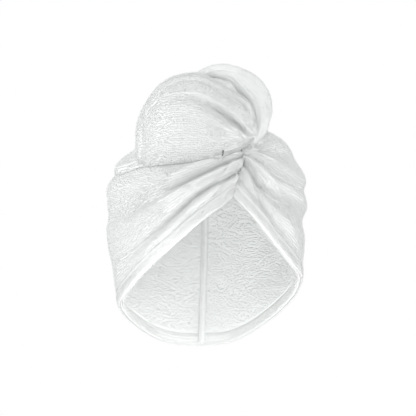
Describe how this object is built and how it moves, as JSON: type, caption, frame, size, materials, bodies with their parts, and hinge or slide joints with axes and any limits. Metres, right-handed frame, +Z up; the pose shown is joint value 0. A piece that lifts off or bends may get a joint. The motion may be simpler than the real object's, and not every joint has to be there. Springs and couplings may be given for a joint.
{
  "type": "hair turban towel",
  "caption": "Terry head wrap in its worn shape, drawn together in folds over the brow and twisted into a tail that is piled on the crown and buttoned at the nape.",
  "frame": {"origin": "seat of the crown of the head, at the top of the hollow", "axes": "+Z up along the head, -Y towards the face, +X to the right as seen from in front"},
  "size_m": [0.2078, 0.2645, 0.2969],
  "materials": {
    "terry": "looped cotton pile, cool white",
    "hem": "folded and stitched cotton, white",
    "elastic": "covered elastic cord, white",
    "button": "satin, white",
    "thread": "close dark grey stitching"
  },
  "bodies": {
    "root": {"left_panel": "terry", "right_panel": "terry", "left_hem": "hem", "right_hem": "hem", "back_seam": "hem", "left_overlap": "terry", "tail_front_fold": "terry", "tail_side_fold": "terry", "tail_strand_one": "terry", "tail_strand_two": "terry", "elastic_loop": "elastic", "nape_button": "button", "bar_tack": "thread"}
  },
  "joints": []
}
